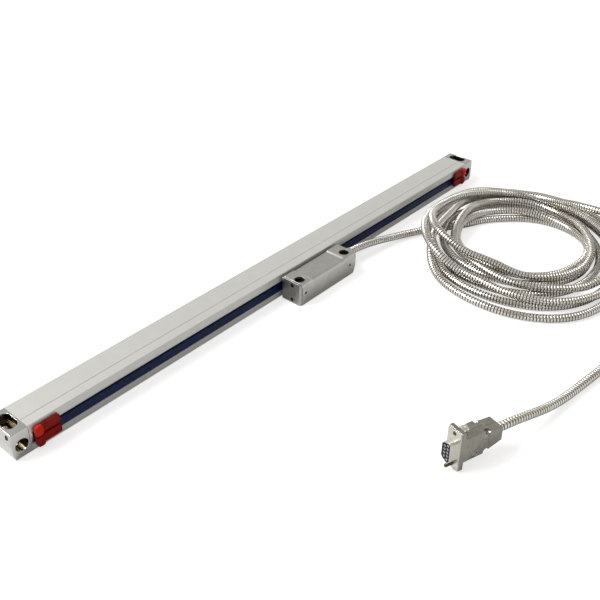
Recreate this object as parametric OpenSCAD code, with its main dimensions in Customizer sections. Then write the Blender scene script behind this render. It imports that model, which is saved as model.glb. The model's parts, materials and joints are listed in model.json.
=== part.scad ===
// Enclosed linear glass scale with its reading head, armoured cable and nine-way plug.
// X runs along the scale, Y runs from the reading head back to the housing, Z is up, millimetres.

/* [Scale] */
// Length over which the head reads the grating
measuring_length = 400; // [200:10:900]
// Extra travel past each end of the measuring length
over_travel = 10; // [4:1:20]
// Depth of the housing from its front face to its back
housing_w = 28; // [28:0.5:34]
// Height of the housing
housing_h = 22.5; // [22.5:0.5:26]
// Thickness of the housing's top and bottom walls
housing_wall = 2.5; // [2.2:0.1:2.8]
// Thickness of the housing's slotted front wall
front_wall = 4.2; // [4.1:0.1:4.5]
// Height of the front slot that the lips close
slot_h = 9.7; // [9.4:0.1:10]
// Height of the middle of the front slot
slot_z = 10.85; // [10.7:0.05:11]
// Distance of the top face's scribed line from the front face
line_inset = 8.8; // [6:0.1:12]
// Width of the scribed line
line_w = 0.6; // [0.4:0.1:1]
// Depth of the scribed line
line_depth = 0.35; // [0.2:0.05:0.6]
// Chamfer along the housing's long edges
edge_chamfer = 0.5; // [0.3:0.1:0.8]

/* [Glass] */
// Thickness of the glass scale
glass_t = 2.4; // [2:0.1:2.6]
// Width of the glass scale
glass_w = 13.9; // [13.5:0.1:14.3]
// Depth to which the glass sits in the back wall
glass_seat = 1.8; // [1.4:0.1:2]
// Thickness of each bonding strip above and below the glass
bond_t = 0.5; // [0.3:0.05:0.6]

/* [Lip seals] */
// Thickness of the flexible part of a lip
lip_t = 0.8; // [0.6:0.05:0.9]
// Gap between the edges of the two lips
lip_gap = 0.9; // [0.8:0.05:1.2]
// Height of the root that holds a lip in its groove
lip_root_h = 1.2; // [0.9:0.05:1.3]
// Width of the lip's root
lip_root_w = 1.6; // [1.4:0.1:1.7]
// Clearance around a lip's root
lip_clear = 0.05; // [0.03:0.01:0.08]

/* [Lip clips] */
// Length of the end block's tongue that shows in the slot
clip_inset = 2.7; // [2.5:0.1:4]
// Length of a lip clip
clip_l = 20.3; // [18:0.1:26]
// Height of a lip clip
clip_h = 15; // [14:0.1:15.6]
// Height of a lip clip's lower edge
clip_z = 4.4; // [4:0.1:4.6]
// Thickness of a lip clip's bars
clip_t = 2.4; // [2.2:0.1:2.6]
// Thickness of a lip clip's round lugs
lug_t = 3.3; // [3:0.1:3.5]
// Length of a lip clip's lugs
lug_l = 6.3; // [5.5:0.1:7]
// Gap left between a clip and the head at the end of the travel
stop_gap = 2; // [1:0.5:6]

/* [End blocks] */
// Length of an end block outside the housing
block_l = 13; // [13:0.5:18]
// Diameter of the counterbore in an end block's front face
front_bore_d = 10; // [9:0.1:10]
// Depth of that counterbore
front_bore_depth = 20; // [16:0.5:21]
// Diameter of the mounting hole that runs through to the back
cross_hole_d = 6; // [4.5:0.1:6.6]
// Height of the mounting hole
cross_hole_z = 10.2; // [10.2:0.1:10.6]
// Width of the slotted counterbore in an end block's top face
top_slot_w = 10; // [9:0.1:10.4]
// Length of that counterbore
top_slot_l = 17.5; // [15:0.1:17.5]
// Depth of that counterbore
top_slot_depth = 6; // [4:0.5:7]
// Width of the through slot below the counterbore
thru_slot_w = 6; // [4.5:0.1:6.6]
// Radius of the block's upright corner at its outer front
block_round = 0.6; // [0.3:0.1:1.5]
// How far the block's convex outer end bulges between its top and bottom edges
end_bulge = 1.6; // [0.6:0.1:2.5]
// Length of the bevel along the block's top edge at the housing
joint_bevel_l = 1.4; // [0.8:0.1:1.5]
// Depth of that bevel
joint_bevel_h = 0.4; // [0.3:0.1:0.8]
// Depth at which the block's screw heads are sunk
screw_sink = 2.4; // [1:0.1:2.6]
// Thickness of the gasket between an end block and the housing
gasket_t = 0.2; // [0.2:0.1:0.6]
// Diameter of the end block's screws
end_screw_d = 2.5; // [2:0.1:2.6]
// Length of the end block's screws
end_screw_l = 20; // [18:0.5:24]
// Clearance around a screw's shank
screw_clear = 0.1; // [0.05:0.01:0.15]

/* [Reading head] */
// Length of the reading head
head_l = 74; // [74:0.5:90]
// Depth of the reading head
head_d = 21; // [21:0.25:24]
// Height of the reading head's mounting pads
head_h = 21; // [21:0.25:22]
// How far the middle of the top lies below the pads
pad_step = 1; // [0.6:0.1:1.5]
// Length of the slope from each pad down to the middle
pad_ramp = 2; // [1.2:0.1:2.5]
// Length of each mounting pad
pad_l = 14.2; // [13.5:0.1:15.5]
// Gap between the head and the housing's front face
head_gap = 2; // [1.5:0.1:2.5]
// Distance of the head from the middle of the scale as drawn
head_offset = 13; // [0:1:60]
// Distance of each mounting hole from the head's end
hole_inset = 7; // [6.8:0.1:7.2]
// Diameter of the head's mounting holes
head_hole_d = 5.5; // [4.5:0.1:5.5]
// Diameter of the counterbore of the head's mounting holes
head_cbore_d = 9; // [8:0.1:9]
// Depth of that counterbore
head_cbore_depth = 5; // [4:0.5:5.5]
// Distance of the mounting holes from the head's back face
head_hole_y = 13.3; // [13.3:0.1:13.8]
// Thickness of the plate that closes the head's end
end_plate_t = 2; // [1.5:0.1:2.5]
// Radius of the rounded edge between the head's top and front
head_round = 3.5; // [2.5:0.1:4]
// Radius of the head's front corner at the plate
plate_round = 2.5; // [1:0.1:3]
// Radius of the head's front corner at the cable end
nose_round = 0.8; // [0.4:0.1:2]
// How far the head's convex cable end bulges beyond its top edge
nose_bulge = 1.4; // [0.6:0.1:2]
// Height at which the cable end bulges most
nose_z = 12.6; // [12:0.2:14]

/* [Carriage] */
// Length of the scanning carriage
carriage_l = 44; // [42:1:60]
// Radius of the ball bearings that run on the glass
roller_r = 2.5; // [2.2:0.1:2.6]
// Width of these bearings
roller_w = 2.3; // [2:0.1:2.3]
// Diameter of the bearings' pins
pin_d = 1.5; // [1.2:0.1:1.6]
// Radial running clearance between a bearing and its pin
pin_clear = 0.03; // [0.02:0.01:0.05]
// Gap between the bearings and the glass
roller_gap = 0.05; // [0.03:0.01:0.1]
// Thickness of the steel arm that passes between the lips
arm_t = 0.4; // [0.3:0.05:0.45]
// Width of that arm
arm_w = 24; // [16:1:30]

/* [Cable] */
// Outer diameter of the armoured cable
cable_d = 7; // [6:0.5:8]
// Radius of the outside of the coil
coil_outer_r = 112; // [108:1:114]
// Gap between the coil and the housing's front face
coil_gap = 7; // [6.5:0.5:10]
// Radius of the hole in the coil
coil_inner_r = 38; // [34:1:44]
// Height of the coil
coil_h = 18; // [16:1:21]
// Outer diameter of the cable gland
gland_d = 9.4; // [9.4:0.1:10]
// Length of the cable gland outside the head
gland_l = 9; // [9:0.5:12]

/* [Plug] */
// Length of the plug's flange
flange_l = 30.8; // [30:0.1:31.4]
// Width of the plug's flange
flange_w = 12.5; // [12:0.1:13]
// Distance between the two jackscrews
jack_pitch = 25; // [24.6:0.1:25]
// Distance from one contact to the next in a row
contact_pitch = 2.77; // [2.74:0.01:2.8]
// Distance between the two rows of contacts
row_pitch = 2.84; // [2.8:0.01:2.88]
// Length of the metal hood
hood_l = 38; // [37:0.5:42]
// Width of the hood across its narrow sides
hood_w = 13.5; // [13:0.25:16]
// Height of the hood between the jackscrews
hood_h = 19; // [18.4:0.1:19.4]

/* [Hidden] */
$fn = 48;

eps = 0.01;
head_reach = head_gap + head_d;
head_pitch = head_l - 2 * hole_inset;
front_y = (head_reach - housing_w) / 2;
travel = measuring_length + 2 * over_travel;
clip_end = clip_inset + clip_l + stop_gap;
profile_l = travel + head_l + 2 * clip_end;
half_l = profile_l / 2;
slot_bottom = slot_z - slot_h / 2;
slot_top = slot_z + slot_h / 2;
cavity_back = housing_w - 3.4;
cavity_top = housing_h - housing_wall;
front_rib = 8;
corner_rib_w = 2;
corner_rib_h = 3.2;
glass_z = housing_h / 2;
glass_y1 = cavity_back + glass_seat;
glass_y0 = glass_y1 - glass_w;
seat_h = glass_t + 2 * bond_t;
lip_groove_y = 1.2;
lip_hold = lip_root_h + lip_clear;
screw_dx = 4.3;
screw_back_y = housing_w - 3.3;
screw_low_z = 3.6;
screw_high_z = housing_h - 4;
END_SCREWS = [[screw_dx, screw_high_z], [screw_back_y, screw_low_z],
  [screw_back_y, screw_high_z]];
tap_d = end_screw_d - 0.4;
block_hole_x = half_l + block_l / 2;
slot_mid_y = housing_w / 2 + 0.5;
spigot_l = 5;
spigot_clear = 0.2;

// The scale's own frame: y is measured back from the housing's front face.
module from_front() translate([0, front_y, 0]) children();
// An outline drawn as (depth, height), run along X from x0 over length l.
module along_x(x0, l) translate([x0, 0, 0]) rotate([90, 0, 90]) linear_extrude(l) children();
module box(x0, x1, y0, y1, z0, z1) translate([x0, y0, z0]) cube([x1 - x0, y1 - y0, z1 - z0]);
module at_left() mirror([1, 0, 0]) children();

// ---------------------------------------------------------------- housing and glass
module housing_outline() {
  c = edge_chamfer;
  polygon([[c, 0], [housing_w - c, 0], [housing_w, c], [housing_w, housing_h - c],
    [housing_w - c, housing_h], [c, housing_h], [0, housing_h - c], [0, c]]);
}

module cavity_outline() {
  translate([front_rib, housing_wall])
    square([cavity_back - front_rib, cavity_top - housing_wall]);
  translate([front_wall - eps, slot_bottom])
    square([front_rib - front_wall + 2 * eps, slot_h]);
}

module corner_ribs() {
  for (z = [housing_wall - eps, cavity_top - corner_rib_h + eps])
    translate([cavity_back - corner_rib_w, z]) square([corner_rib_w + eps, corner_rib_h]);
}

module housing_section() {
  difference() {
    housing_outline();
    difference() {
      cavity_outline();
      corner_ribs();
    }
    translate([-1, slot_bottom]) square([front_wall + 1 + eps, slot_h]);
    translate([lip_groove_y, slot_bottom - lip_hold])
      square([lip_root_w + 2 * lip_clear, slot_h + 2 * lip_hold]);
    translate([cavity_back - eps, glass_z - seat_h / 2])
      square([glass_seat + 0.1 + eps, seat_h]);
    translate([line_inset - line_w / 2, housing_h - line_depth]) square([line_w, line_depth + 1]);
    for (p = END_SCREWS) translate(p) circle(d = tap_d);
  }
}

module housing() color("Gainsboro") from_front() along_x(-half_l, profile_l) housing_section();

module glass_scale() color("PaleTurquoise") from_front()
  box(-half_l + spigot_l + 1, half_l - spigot_l - 1, glass_y0, glass_y1,
    glass_z - glass_t / 2, glass_z + glass_t / 2);

module glass_bond_strips() color("DimGray") from_front()
  for (s = [-1, 1]) translate([0, 0, glass_z + s * (glass_t + bond_t) / 2])
    box(-half_l + spigot_l + 1, half_l - spigot_l - 1, cavity_back, glass_y1,
      -bond_t / 2, bond_t / 2);

// ---------------------------------------------------------------- lip seals and clips
// One lip: a root held in the groove and a thin blade that leans inwards to the middle.
module lip_outline() {
  y0 = lip_groove_y + lip_clear;
  reach = slot_h / 2 - lip_gap / 2;
  tip_y = front_wall - lip_t;
  polygon([[y0, slot_h / 2 + lip_root_h], [y0 + lip_root_w, slot_h / 2 + lip_root_h],
    [y0 + lip_root_w, slot_h / 2 - 0.6], [tip_y + lip_t, slot_h / 2 - reach],
    [tip_y, slot_h / 2 - reach], [0.5, slot_h / 2 - lip_clear], [y0, slot_h / 2 - lip_clear]]);
}
lip_half = half_l - clip_inset - 0.3;
module upper_lip_seal() color("MidnightBlue") from_front()
  translate([0, 0, slot_z]) along_x(-lip_half, 2 * lip_half) lip_outline();
module lower_lip_seal() color("MidnightBlue") from_front()
  translate([0, 0, slot_z]) mirror([0, 0, 1]) along_x(-lip_half, 2 * lip_half) lip_outline();

// A clip: two bars over the lips' ends, and two round lugs beside the end block.
module lip_clip() {
  x1 = half_l - clip_inset;
  x0 = x1 - clip_l;
  xl = x1 - lug_l;
  bar_gap = 2;
  bar_h = (clip_h - bar_gap) / 2;
  gap = 0.05;
  for (z = [clip_z, clip_z + bar_h + bar_gap])
    box(x0, xl + 1, -clip_t, -gap, z, z + bar_h);
  box(x0, xl + 1, -clip_t + 1.2, -gap, clip_z + 1, clip_z + clip_h - 1);
  box(xl, x1, -lug_t + 1.2, -gap, clip_z - 2.4, clip_z + clip_h + 0.6);
  for (z = [clip_z + 0.6, clip_z + clip_h - 4.6])
    translate([(xl + x1) / 2, -gap, z]) rotate([90, 0, 0]) {
      cylinder(d = lug_l - 0.4, h = lug_t - gap);
    }
}
module right_lip_clip() color("Firebrick") from_front() lip_clip();
module left_lip_clip() color("Firebrick") from_front() at_left() lip_clip();

// ---------------------------------------------------------------- end blocks
module obround(l, w, h) {
  for (s = [-1, 1]) translate([0, s * (l - w) / 2, 0]) cylinder(d = w, h = h);
  translate([-w / 2, -(l - w) / 2, 0]) cube([w, l - w, h]);
}

// The block seen from above, with its outer front corner rounded.
module block_plan(x0, x1) {
  r = block_round;
  translate([x0 - 1, r]) square([x1 - x0 + 1, housing_w - r]);
  translate([x0 - 1, 0]) square([x1 - r - x0 + 1, r + eps]);
  translate([x1 - r, r]) circle(r = r);
}
// The radius of an arc that rises by s over half a chord c.
function arc_r(c, s) = (c * c + s * s) / (2 * s);
// The end block seen from the front: its outer end is an arc over the block's whole height.
module block_front(x0, x1) intersection() {
  r = arc_r(housing_h / 2, end_bulge);
  translate([x0 - 1, -1]) square([x1 - x0 + end_bulge + 2, housing_h + 2]);
  translate([x1 + end_bulge - r, housing_h / 2]) circle(r = r, $fn = 192);
}

module end_block() {
  x0 = half_l + gasket_t;
  x1 = half_l + block_l;
  thru_l = top_slot_l - top_slot_w + thru_slot_w;
  difference() {
    union() {
      intersection() {
        along_x(x0, x1 + end_bulge - x0) housing_outline();
        translate([0, 0, -1]) linear_extrude(housing_h + 2) block_plan(x0, x1 + end_bulge);
        translate([0, housing_w + 1, 0]) rotate([90, 0, 0]) linear_extrude(housing_w + 2)
          block_front(x0, x1);
      }
      box(half_l - spigot_l, x0 + eps, front_rib + spigot_clear, cavity_back - corner_rib_w - spigot_clear,
        housing_wall + spigot_clear, cavity_top - spigot_clear);
      box(half_l - clip_inset, x0 + eps, 0.3, front_rib + 1,
        slot_bottom + spigot_clear, slot_top - spigot_clear);
    }
    translate([0, housing_w + 1, 0]) rotate([90, 0, 0]) linear_extrude(housing_w + 2)
      polygon([[x0 - eps, housing_h - joint_bevel_h], [x0 + joint_bevel_l, housing_h],
        [x0 + joint_bevel_l, housing_h + 1], [x0 - eps, housing_h + 1]]);
    translate([block_hole_x, -1, cross_hole_z]) rotate([-90, 0, 0])
      cylinder(d = front_bore_d, h = front_bore_depth + 1);
    translate([block_hole_x, -1, cross_hole_z]) rotate([-90, 0, 0])
      cylinder(d = cross_hole_d, h = housing_w + 2);
    translate([block_hole_x, slot_mid_y, housing_h - top_slot_depth])
      obround(top_slot_l, top_slot_w, top_slot_depth + 1);
    translate([block_hole_x, slot_mid_y, -1]) obround(thru_l, thru_slot_w, housing_h + 2);
    for (p = END_SCREWS) translate([half_l - 1, p[0], p[1]]) rotate([0, 90, 0]) {
      cylinder(d = end_screw_d + 2 * screw_clear, h = block_l + end_bulge + 2);
      translate([0, 0, block_l + 1 - screw_head_h - screw_sink])
        cylinder(d = screw_head_d, h = 5);
    }
  }
}
screw_head_h = 1.6;
screw_head_d = end_screw_d + 1.6;
module right_end_block() color("Silver") from_front() end_block();
module left_end_block() color("Silver") from_front() at_left() end_block();

module end_gasket() {
  gasket_in = 0.1;
  difference() {
    along_x(half_l, gasket_t) difference() {
      translate([gasket_in, gasket_in])
        square([housing_w - 2 * gasket_in, housing_h - 2 * gasket_in]);
      translate([front_rib, housing_wall])
        square([cavity_back - corner_rib_w - front_rib, cavity_top - housing_wall]);
      translate([-1, slot_bottom]) square([front_rib + 2, slot_h]);
      for (p = END_SCREWS) translate(p) circle(d = end_screw_d + 2 * screw_clear);
    }
  }
}
module right_end_gasket() color("Black") from_front() end_gasket();
module left_end_gasket() color("Black") from_front() at_left() end_gasket();

// Socket screws that run through an end block into the housing's tapped bores.
module end_screws() {
  shank = block_l - screw_head_h - screw_sink;
  x_head = half_l + shank;
  for (p = END_SCREWS) translate([x_head, p[0], p[1]]) rotate([0, 90, 0]) difference() {
    union() {
      cylinder(d = screw_head_d - 0.2, h = screw_head_h - 0.2);
      translate([0, 0, -shank + eps]) cylinder(d = end_screw_d - 0.1, h = shank);
      translate([0, 0, -end_screw_l]) cylinder(d = tap_d - 0.1, h = end_screw_l);
    }
    translate([0, 0, 0.4]) cylinder(d = 1.5, h = 2, $fn = 6);
  }
}
module right_end_screws() color("DarkGray") from_front() end_screws();
module left_end_screws() color("DarkGray") from_front() at_left() end_screws();

// ---------------------------------------------------------------- reading head
// The head's own frame: x from its middle, y from the housing's front face, so the head
// lies between y = -head_gap and y = -head_reach.
module at_head() translate([head_offset, front_y, 0]) children();
back_web = 2;
board_back = 6.5;
cable_back = 7;
bay_back = 9.5;
bay_end = 13;
bay_z0 = 3.5;
roof = 4;
board_y = -head_gap - board_back;
cable_y = -head_gap - cable_back;
cable_z = 11.5;
bay_y0 = -head_gap - bay_back;
bay_y1 = -head_gap - back_web;
bay_z1 = head_h - roof;
bay_x1 = head_l / 2 - bay_end;
hole_y = -head_gap - head_hole_y;
grub_d = 2.5;
grub_z = 10.7;
gland_bore_d = 8.4;
gland_seat_l = 4;
plate_screw_back = 11;
plate_screw_y = -head_gap - plate_screw_back;
PLATE_SCREWS_Z = [3, bay_z1];
plate_screw_d = 2;
plate_screw_l = 2.9;

// The head seen from the front: its cable end is an arc that bulges most at nose_z.
module head_front() intersection() {
  r = arc_r(head_h - nose_z, nose_bulge);
  translate([-head_l / 2 - 1, -1]) square([head_l + nose_bulge + 2, head_h + 2]);
  union() {
    translate([-head_l / 2 - 1, -1]) square([head_l - 9, head_h + 2]);
    translate([head_l / 2 + nose_bulge - r, nose_z]) circle(r = r, $fn = 192);
  }
}
// The head seen from above: square at the back, and round at its two front corners.
module head_plan() {
  x0 = -head_l / 2;
  x1 = head_l / 2 + nose_bulge;
  y0 = -head_reach;
  hull() {
    translate([x0, y0 + head_d - 1]) square([x1 - x0, 1]);
    translate([x0 + plate_round, y0 + plate_round]) circle(r = plate_round);
    translate([x1 - nose_round, y0 + nose_round]) circle(r = nose_round);
  }
}
module in_head_plan() intersection() {
  children();
  translate([0, 0, -1]) linear_extrude(head_h + 2) head_plan();
  translate([0, 1, 0]) rotate([90, 0, 0]) linear_extrude(head_reach + 2) head_front();
}
// A pad, which slopes down to the head's middle; x1 is its end there and dir its way.
module pad(x_out, x_in) {
  dir = sign(x_in - x_out);
  hull() {
    along_x(min(x_out, x_in), abs(x_in - x_out)) head_side(head_h);
    along_x(min(x_in, x_in + dir * pad_ramp), pad_ramp) head_side(head_h - pad_step);
  }
}
// The head seen from its end, with the rounded edge between top and front.
module head_side(h) {
  r = head_round;
  translate([-head_reach, 0]) square([head_d, h - r]);
  translate([-head_reach + r, 0]) square([head_d - r, h]);
  translate([-head_reach + r, h - r]) circle(r = r);
}
module head_block() {
  x0 = -head_l / 2 + end_plate_t;
  x1 = head_l / 2;
  in_head_plan() {
    union() {
      along_x(x0, x1 + nose_bulge - x0) head_side(head_h - pad_step);
      pad(x0, -x1 + pad_l);
      pad(x1 + nose_bulge, x1 - pad_l);
    }
  }
}
module head_body() color("Silver") at_head() {
  arm_slot = 0.3;
  difference() {
    head_block();
    box(-head_l / 2, bay_x1, bay_y0, bay_y1, bay_z0, bay_z1);
    box(-arm_w / 2 - arm_slot, arm_w / 2 + arm_slot, bay_y1 - 1, 0,
      slot_z - arm_t / 2 - arm_slot, slot_z + arm_t / 2 + arm_slot);
    for (s = [-1, 1]) translate([s * head_pitch / 2, 0, 0]) {
      translate([0, hole_y, -1]) cylinder(d = head_hole_d, h = head_h + 2);
      translate([0, hole_y, head_h - head_cbore_depth])
        cylinder(d = head_cbore_d, h = head_cbore_depth + 1);
      translate([0, -head_reach - 1, grub_z]) rotate([-90, 0, 0])
        cylinder(d = grub_d, h = head_reach + hole_y + 1);
    }
    for (s = [-1, 1]) translate([s * arm_screw_x, bay_y1 - 1, arm_screw_z]) rotate([-90, 0, 0])
      cylinder(d = arm_screw_d - 0.3, h = 2.5);
    translate([bay_x1 - 1, cable_y, cable_z]) rotate([0, 90, 0]) cylinder(d = 4.4, h = head_l);
    translate([head_l / 2 - gland_seat_l, cable_y, cable_z]) rotate([0, 90, 0])
      cylinder(d = gland_bore_d, h = gland_seat_l + nose_bulge + 1);
    translate([head_l / 2, cable_y, cable_z]) rotate([0, 90, 0])
      cylinder(d = gland_d + 0.6, h = nose_bulge + 1);
    translate([head_pitch / 2 - 4, -head_reach - 1, grub_z + 2.4]) rotate([-90, 0, 0])
      cylinder(d = 1.4, h = 1.5);
    for (z = PLATE_SCREWS_Z) translate([-head_l / 2, plate_screw_y, z]) rotate([0, 90, 0])
      cylinder(d = plate_screw_d - 0.3, h = plate_screw_l + 0.15);
  }
}

plate_gasket_t = 0.4;
module head_end_plate() color("LightGray") at_head() difference() {
  in_head_plan() along_x(-head_l / 2, end_plate_t - plate_gasket_t) head_side(head_h - 0.1);
  for (z = PLATE_SCREWS_Z) translate([-head_l / 2 - 1, plate_screw_y, z]) rotate([0, 90, 0]) {
    cylinder(d = plate_screw_d + 2 * screw_clear, h = 5);
    cylinder(d = plate_screw_d + 1.7, h = 1.8);
  }
}
module end_plate_gasket() color("Black") at_head() difference() {
  x0 = -head_l / 2 + end_plate_t - plate_gasket_t;
  along_x(x0, plate_gasket_t) translate([-head_reach + 0.5, 0.5])
    square([head_d - 1, head_h - head_round - 1]);
  box(x0 - 1, x0 + 2, bay_y0, bay_y1, bay_z0, bay_z1);
  for (z = PLATE_SCREWS_Z) translate([x0 - 1, plate_screw_y, z]) rotate([0, 90, 0])
    cylinder(d = plate_screw_d + 2 * screw_clear, h = 3);
}
module end_plate_screws() color("DarkGray") at_head()
  for (z = PLATE_SCREWS_Z) translate([-head_l / 2, plate_screw_y, z]) rotate([0, 90, 0])
    difference() {
      union() {
        translate([0, 0, 0.05]) cylinder(d = plate_screw_d + 1.5, h = 0.7);
        translate([0, 0, 0.1]) cylinder(d = plate_screw_d - 0.4, h = plate_screw_l - 0.1);
      }
      translate([-0.25, -1, -0.1]) cube([0.5, 2, 0.45]);
    }
module head_grub_screws() color("DimGray") at_head()
  for (s = [-1, 1]) translate([s * head_pitch / 2, -head_reach + 1.8, grub_z]) rotate([-90, 0, 0])
    difference() {
      cylinder(d = grub_d - 0.1, h = 2.8);
      translate([0, 0, -1]) cylinder(d = 1.3, h = 2.2, $fn = 6);
    }
board_t = 1.2;
board_end = 2;
board_gap = 0.3;
chip_l = 7;
chip_t = 1.4;
chip_z0 = 6.5;
chip_h = 7;
chip_step = 12;
module signal_board() color("DarkGreen") at_head() {
  x0 = -head_l / 2 + end_plate_t + board_end;
  face = board_y - board_t / 2;
  box(x0, bay_x1 - 2 * board_end, face, face + board_t, bay_z0 + board_gap, bay_z1 - board_gap);
  for (i = [0 : 2]) box(x0 + chip_step * (i + 1), x0 + chip_step * (i + 1) + chip_l, face - chip_t,
    face, chip_z0, chip_z0 + chip_h);
}

// ---------------------------------------------------------------- scanning carriage
roller_z = glass_z + glass_t / 2 + roller_gap + roller_r;
edge_roller_y = glass_y0 - roller_gap - roller_r;
roller_x = 17;
face_y = glass_y0 + 7.8;
inner_y = glass_y0 + 1.9;
inner_x = 11.5;
FACE_ROLLERS = [[-roller_x, face_y], [roller_x, face_y], [inner_x, inner_y]];
pocket = roller_r + 0.5;
pocket_w = roller_w / 2 + 0.2;
pin_l = roller_w + 2.2;
arm_low = glass_z + glass_t / 2 + 0.9;
arm_high = cavity_top - 0.8;
spine_y0 = front_wall + 1.2;
spine_y1 = front_rib + 0.6;
spine_z0 = slot_bottom + 0.6;
spine_z1 = slot_top - 0.5;
under_z1 = glass_z - glass_t / 2 - 0.9;
under_z0 = housing_wall + 0.9;
scan_y = glass_y0 + 4.2;
arm_screw_x = 9;
arm_screw_z = slot_z + 3.4;
arm_screw_d = 2;
ear_x = 7;
ear_t = 2;
ear_top = 2.4;
rod_d = 0.8;
rod_gap = 0.02;
rod_z = slot_z + 1.55;

module carriage() color("SlateGray") at_head() difference() {
  union() {
    box(-carriage_l / 2, carriage_l / 2, spine_y0, spine_y1, spine_z0, spine_z1);
    box(-carriage_l / 2, carriage_l / 2, spine_y1 - eps, face_y + 2, arm_low, arm_high);
    box(-9, 9, spine_y1 - eps, scan_y + 4, under_z0, under_z1);
    for (s = [-1, 1]) box(s * roller_x - 3.2, s * roller_x + 3.2, spine_y1 - eps,
      edge_roller_y + 1.6, under_z1 - 2.4, under_z1);
    box(ear_x, ear_x + ear_t, rod_y - rod_d / 2, spine_y0 + eps, slot_z + 0.7, slot_z + ear_top);
  }
  for (p = FACE_ROLLERS) {
    box(p[0] - pocket, p[0] + pocket, p[1] - pocket_w, p[1] + pocket_w, arm_low - 1,
      roller_z + pocket);
    translate([p[0], p[1] - pin_l / 2 - 0.1, roller_z]) rotate([-90, 0, 0])
      cylinder(d = pin_d + 0.02, h = pin_l + 0.2);
  }
  for (s = [-1, 1]) translate([s * roller_x, edge_roller_y, 0]) {
    translate([0, 0, glass_z - pocket_w]) cylinder(r = pocket, h = 2 * pocket_w);
    translate([0, 0, glass_z - pin_l / 2 - 1.2]) cylinder(d = pin_d + 0.02, h = pin_l + 2.4);
  }
  box(-8, 6, scan_y - 3.6, scan_y + 3.6, arm_low - 1, arm_low + 2.6);
  box(-4, 4, spine_y0 - 1, spine_y1 + 3, slot_z - 1, slot_z + 1.4);
  box(-4, 4, spine_y1 - 0.5, scan_y - 3, slot_z, arm_low + 2.6);
  translate([0, scan_y, under_z0 - 1]) cylinder(d = 5.2, h = 8);
}

module roller_pins() color("LightSteelBlue") at_head() {
  for (p = FACE_ROLLERS) translate([p[0], p[1] - pin_l / 2, roller_z]) rotate([-90, 0, 0])
    cylinder(d = pin_d, h = pin_l);
  for (s = [-1, 1]) translate([s * roller_x, edge_roller_y, glass_z - pin_l / 2 - 1])
    cylinder(d = pin_d, h = pin_l + 2);
}
module roller() difference() {
  cylinder(r = roller_r, h = roller_w, center = true);
  cylinder(d = pin_d + 2 * pin_clear, h = roller_w + 1, center = true);
}
module face_roller(i) color("Silver") at_head()
  translate([FACE_ROLLERS[i][0], FACE_ROLLERS[i][1], roller_z]) rotate([90, 0, 0]) roller();
module edge_roller(s) color("Silver") at_head()
  translate([s * roller_x, edge_roller_y, glass_z]) roller();
module face_roller_left() face_roller(0);
module face_roller_right() face_roller(1);
module face_roller_inner() face_roller(2);
module edge_roller_left() edge_roller(-1);
module edge_roller_right() edge_roller(1);

module lamp() color("Gold") at_head() translate([0, scan_y, under_z0 + 0.8]) {
  cylinder(d = 5, h = 2.6);
  translate([0, 0, 2.6]) sphere(d = 4);
}
module lamp_board() color("DarkGreen") at_head()
  translate([0, scan_y, under_z0 + 0.2]) cylinder(d = 5, h = 0.6);
module index_grating() color("LightCyan") at_head()
  box(-7.5, 5.5, scan_y - 3.2, scan_y + 3.2, arm_low - 0.7, arm_low + 0.5);
module detector_board() color("DarkGreen") at_head()
  box(-7.8, 5.8, scan_y - 3.4, scan_y + 3.4, arm_low + 0.5, arm_low + 1.7);

// The arm: a foot inside the head and a thin blade that reaches in between the lips.
module coupling_arm() color("LightSteelBlue") at_head() difference() {
  union() {
    box(-arm_w / 2, arm_w / 2, bay_y1 - 0.8, bay_y1 - 0.02, slot_z - 2.5, slot_z + 5);
    box(-arm_w / 2, arm_w / 2, bay_y1 - 0.8, rod_y + rod_d / 2, slot_z - arm_t / 2,
      slot_z + arm_t / 2);
    box(-ear_x - ear_t, -ear_x, rod_y - rod_d / 2, rod_y + rod_d / 2, slot_z, slot_z + ear_top);
  }
  for (s = [-1, 1]) translate([s * arm_screw_x, bay_y1 - 2, arm_screw_z]) rotate([-90, 0, 0])
    cylinder(d = arm_screw_d + 0.2, h = 3);
  box(-ribbon_w / 2 - 0.5, ribbon_w / 2 + 0.5, bay_y1 - 2, bay_y1, slot_z + arm_t / 2 - eps,
    slot_z + 1.2);
}
module coupling_arm_screws() color("DarkGray") at_head()
  for (s = [-1, 1]) translate([s * arm_screw_x, bay_y1 - 0.85, arm_screw_z]) rotate([-90, 0, 0]) {
    translate([0, 0, -1]) cylinder(d = arm_screw_d + 1.4, h = 1);
    translate([0, 0, -0.5]) cylinder(d = arm_screw_d - 0.4, h = 2.6);
  }
rod_y = front_wall + 0.5;
module coupling_rod() color("Goldenrod") at_head()
  translate([-ear_x + rod_gap, rod_y, rod_z]) rotate([0, 90, 0])
    cylinder(d = rod_d, h = 2 * (ear_x - rod_gap));
ribbon_w = 6;
module flex_ribbon() color("DarkOrange") at_head() {
  w = ribbon_w / 2;
  t = 0.1;
  z0 = slot_z + arm_t / 2 + 0.03;
  rise_y = spine_y1 + 0.9;
  top_z = arm_low + 1.8;
  box(-w, w, board_y + board_t / 2 + 0.02, rise_y + t, z0, z0 + t);
  box(-w, w, rise_y, rise_y + t, z0, top_z + t);
  box(-w, w, rise_y, scan_y - 1, top_z, top_z + t);
}

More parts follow.
